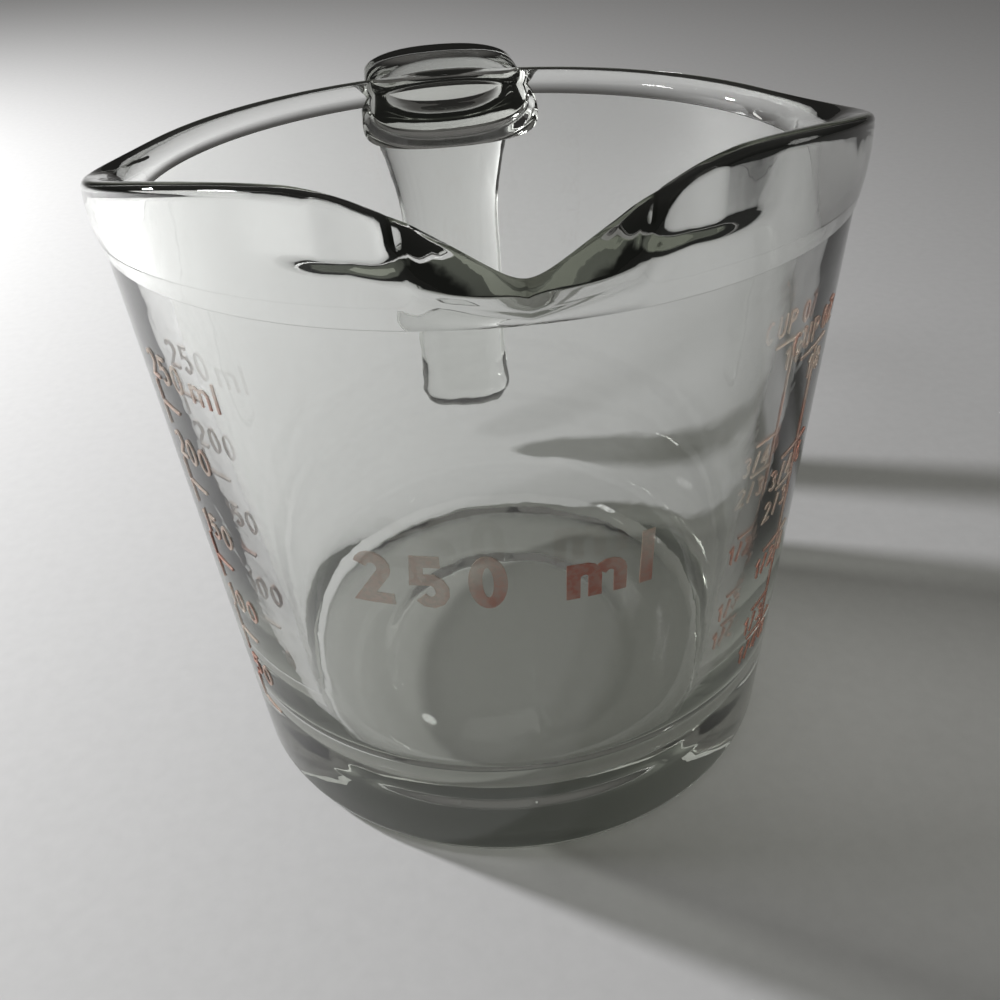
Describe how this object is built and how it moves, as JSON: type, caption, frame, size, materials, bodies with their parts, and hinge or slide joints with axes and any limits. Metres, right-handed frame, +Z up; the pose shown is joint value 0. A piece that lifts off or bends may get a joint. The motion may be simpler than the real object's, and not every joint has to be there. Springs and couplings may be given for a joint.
{
  "type": "measuring cup",
  "caption": "Clear pressed glass measuring cup with a V-shaped pouring spout between raised shoulders, an open hanging handle and printed millilitre, cup and ounce scales.",
  "frame": {"origin": "centre of the circle that the foot stands on, on the cup's axis", "axes": "+Z up along the cup's axis, -Y through the spout, +Y through the handle, +X to the right as seen with the spout towards the viewer"},
  "size_m": [0.0902, 0.1194, 0.0915],
  "materials": {
    "glass": "clear pressed soda-lime glass with a slight green-grey tint, fire polished",
    "enamel": "thin fired enamel, brownish red, worn"
  },
  "bodies": {
    "root": {"bowl": "glass", "rim": "glass", "handle": "glass", "ml_lines": "enamel", "ml_numerals": "enamel", "cup_lines": "enamel", "cup_fractions": "enamel", "ounce_numerals": "enamel", "front_mark": "enamel"}
  },
  "joints": []
}
